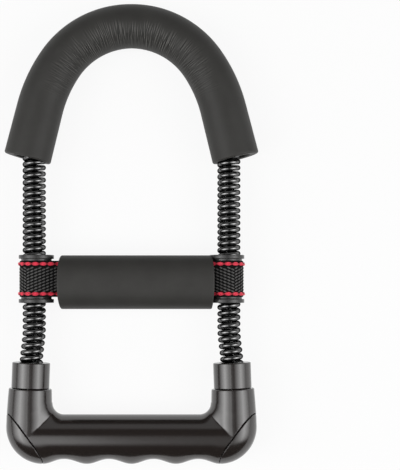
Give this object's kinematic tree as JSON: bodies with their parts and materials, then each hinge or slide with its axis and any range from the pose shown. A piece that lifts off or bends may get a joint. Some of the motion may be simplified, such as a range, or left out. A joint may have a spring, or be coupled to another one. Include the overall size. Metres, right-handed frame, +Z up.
{
  "type": "wrist trainer",
  "caption": "Forearm and wrist trainer: foam-covered bow on coil springs, sliding foam pad on a webbing strap, and a moulded grip with finger ridges.",
  "frame": {"origin": "middle of the footprint, on the surface that the trainer lies on", "axes": "+Y from the grip to the bow, +X to the right as the picture shows it, +Z up from the surface, towards the viewer"},
  "size_m": [0.2254, 0.4086, 0.0417],
  "materials": {
    "foam": "matte",
    "spring_steel": "gloss",
    "bright_steel": "satin",
    "sleeve_plastic": "satin",
    "webbing": "matte",
    "red_thread": "matte",
    "handle_plastic": "gloss"
  },
  "bodies": {
    "handle": {"grip_body": "handle_plastic", "left_corner_cap": "handle_plastic", "right_corner_cap": "handle_plastic", "left_socket_collar": "handle_plastic", "right_socket_collar": "handle_plastic", "left_spring_anchor": "bright_steel", "right_spring_anchor": "bright_steel", "left_anchor_washer": "bright_steel", "right_anchor_washer": "bright_steel", "left_anchor_screw": "bright_steel", "right_anchor_screw": "bright_steel"},
    "bow": {"arch_foam": "foam", "bow_rod": "bright_steel", "left_spring": "spring_steel", "right_spring": "spring_steel"},
    "pad_carrier": {"left_sleeve": "sleeve_plastic", "right_sleeve": "sleeve_plastic", "strap": "webbing", "upper_red_stitching": "red_thread", "lower_red_stitching": "red_thread"},
    "pad_cushion": {"pad_foam": "foam"}
  },
  "joints": [
    {"name": "spring_flex", "type": "hinge", "parent": "handle", "child": "bow", "pos_m": [0, -0.0988, 0.0206], "axis": [1, 0, 0], "range_deg": [-35, 35], "stiffness_Nm_per_rad": 9, "deforming": ["left_spring", "right_spring"]},
    {"name": "pad_slide", "type": "slide", "parent": "bow", "child": "pad_carrier", "axis": [0, 1, 0], "range_m": [-0.022, 0.078]},
    {"name": "cushion_play", "type": "slide", "parent": "pad_carrier", "child": "pad_cushion", "axis": [1, 0, 0], "range_m": [-0.0055, 0]}
  ]
}
